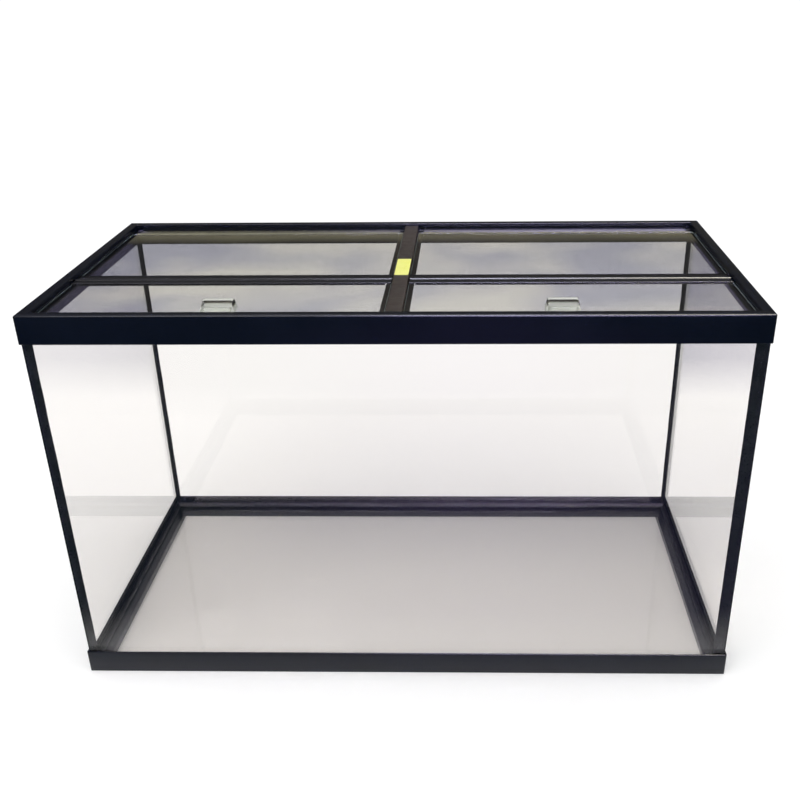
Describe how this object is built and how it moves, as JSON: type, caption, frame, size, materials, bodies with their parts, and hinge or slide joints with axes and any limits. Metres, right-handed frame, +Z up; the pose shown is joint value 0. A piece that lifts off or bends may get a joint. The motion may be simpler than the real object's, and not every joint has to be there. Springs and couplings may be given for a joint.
{
  "type": "glass display tank",
  "caption": "Rectangular glass display tank with black moulded rims, a centre brace and hinged glass lids with clear finger handles.",
  "frame": {"origin": "centre of the tank's footprint, on the floor the base rim rests on", "axes": "+Z up, +X to the right across the width, -Y towards the front, where the lids open"},
  "size_m": [1.232, 0.616, 0.737],
  "materials": {
    "rim_plastic": "moulded black plastic with a faint blue cast, semi-gloss",
    "brace_plastic": "moulded brown-black plastic, semi-gloss",
    "tank_glass": "clear float glass with polished edges",
    "lid_glass": "clear float glass with seamed edges",
    "silicone": "tooled black silicone, satin",
    "hinge_vinyl": "extruded black vinyl, glossy along its length",
    "clear_vinyl": "soft clear vinyl, slightly cloudy",
    "clear_acrylic": "moulded clear acrylic, glossy",
    "clear_adhesive": "clear adhesive pad, hazy",
    "label": "plain yellow gloss sticker, blank"
  },
  "bodies": {
    "tank": {"bottom_frame": "rim_plastic", "bottom_pane": "tank_glass", "front_pane": "tank_glass", "back_pane": "tank_glass", "left_pane": "tank_glass", "right_pane": "tank_glass", "top_frame": "rim_plastic", "centre_brace": "brace_plastic", "brace_label": "label", "corner_seam_front_left": "silicone", "corner_seam_front_right": "silicone", "corner_seam_back_left": "silicone", "corner_seam_back_right": "silicone", "bottom_seam": "silicone", "top_frame_bead": "silicone", "bottom_frame_bead": "silicone"},
    "left_lid": {"left_rear_glass": "lid_glass", "left_rear_hinge_channel": "hinge_vinyl", "left_hinge_web": "hinge_vinyl", "left_back_strip": "clear_vinyl"},
    "left_flap": {"left_front_glass": "lid_glass", "left_front_hinge_channel": "hinge_vinyl", "left_handle": "clear_acrylic", "left_handle_pad": "clear_adhesive"},
    "right_lid": {"right_rear_glass": "lid_glass", "right_rear_hinge_channel": "hinge_vinyl", "right_hinge_web": "hinge_vinyl", "right_back_strip": "clear_vinyl"},
    "right_flap": {"right_front_glass": "lid_glass", "right_front_hinge_channel": "hinge_vinyl", "right_handle": "clear_acrylic", "right_handle_pad": "clear_adhesive"}
  },
  "joints": [
    {"name": "left_lid_lift", "type": "slide", "parent": "tank", "child": "left_lid", "axis": [0, 0, 1], "range_m": [0, 0.12]},
    {"name": "left_flap_hinge", "type": "hinge", "parent": "left_lid", "child": "left_flap", "pos_m": [-0.3055, -0.086, 0.7205], "axis": [-1, 0, 0], "range_deg": [0, 174]},
    {"name": "right_lid_lift", "type": "slide", "parent": "tank", "child": "right_lid", "axis": [0, 0, 1], "range_m": [0, 0.12]},
    {"name": "right_flap_hinge", "type": "hinge", "parent": "right_lid", "child": "right_flap", "pos_m": [0.3055, -0.086, 0.7205], "axis": [-1, 0, 0], "range_deg": [0, 174]}
  ]
}
